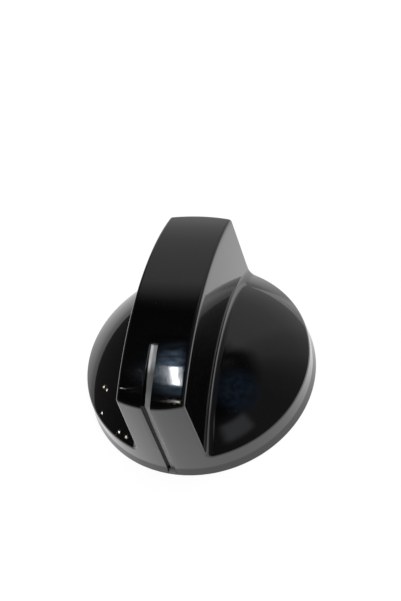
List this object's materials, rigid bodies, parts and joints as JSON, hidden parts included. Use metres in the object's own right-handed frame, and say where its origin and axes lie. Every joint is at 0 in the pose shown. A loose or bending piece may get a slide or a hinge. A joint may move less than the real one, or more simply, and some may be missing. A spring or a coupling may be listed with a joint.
{
  "type": "stove knob",
  "caption": "Round domed control knob with a full-width bar grip, a recessed pointer line and a hollow back with a hub for a flatted shaft.",
  "frame": {"origin": "on the shaft's axis, in the plane of the skirt's edge", "axes": "+Z out of the knob's front along the shaft's axis, the grip lies along Y with its pointer line at -Y"},
  "size_m": [0.044, 0.044, 0.027],
  "materials": {
    "black_gloss": "moulded black thermoset, high gloss",
    "spring_steel": "rolled spring strip",
    "band_steel": "zinc-plated strip"
  },
  "bodies": {
    "root": {"knob_body": "black_gloss", "shaft_clip": "spring_steel", "hub_band": "band_steel"}
  },
  "joints": []
}
